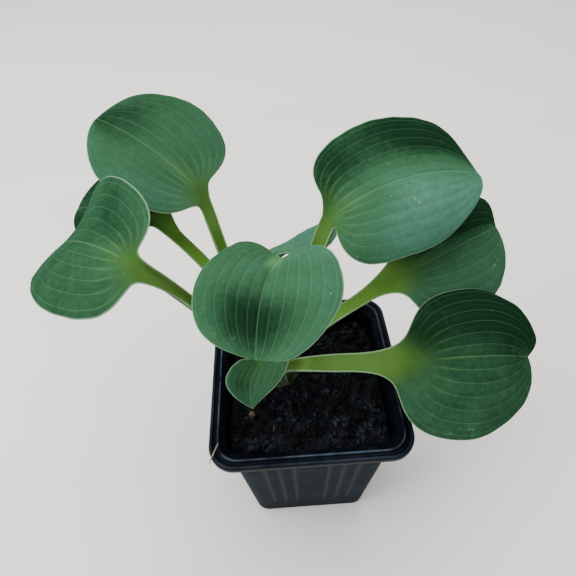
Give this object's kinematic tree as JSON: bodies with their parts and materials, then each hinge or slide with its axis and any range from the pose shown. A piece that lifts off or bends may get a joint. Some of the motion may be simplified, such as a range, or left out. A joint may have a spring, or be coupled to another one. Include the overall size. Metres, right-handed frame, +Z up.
{
  "type": "potted hosta plant",
  "caption": "Young blue-leaved hosta with arching petioles and cupped, ribbed leaves in a square black nursery pot",
  "frame": {"origin": "centre of the pot's base, on the surface it stands on", "axes": "+Z up; the square pot's sides run along X and Y, and the pictured front faces -Y"},
  "size_m": [0.2219, 0.1702, 0.1944],
  "materials": {
    "pot_plastic": "smooth black moulded polypropylene with a soft sheen, duller on the walls",
    "peat_soil": "dark crumbly peat, matt, with pale fibres and grey specks",
    "crown_tissue": "yellow-green sheath tissue, waxy",
    "grain_coating": "tan resin-coated fertiliser grain, satin",
    "leaf_tissue": "blue-green leaf with a waxy bloom, pale veins and margin, yellow-green petiole"
  },
  "bodies": {
    "root": {"pot": "pot_plastic", "soil": "peat_soil", "crown": "crown_tissue", "fertiliser_grain": "grain_coating", "leaf_upper_left": "leaf_tissue", "leaf_left": "leaf_tissue", "leaf_left_behind": "leaf_tissue", "leaf_centre": "leaf_tissue", "leaf_small_front": "leaf_tissue", "leaf_upper_right": "leaf_tissue", "leaf_right_behind": "leaf_tissue", "leaf_right": "leaf_tissue", "leaf_centre_behind": "leaf_tissue"}
  },
  "joints": []
}
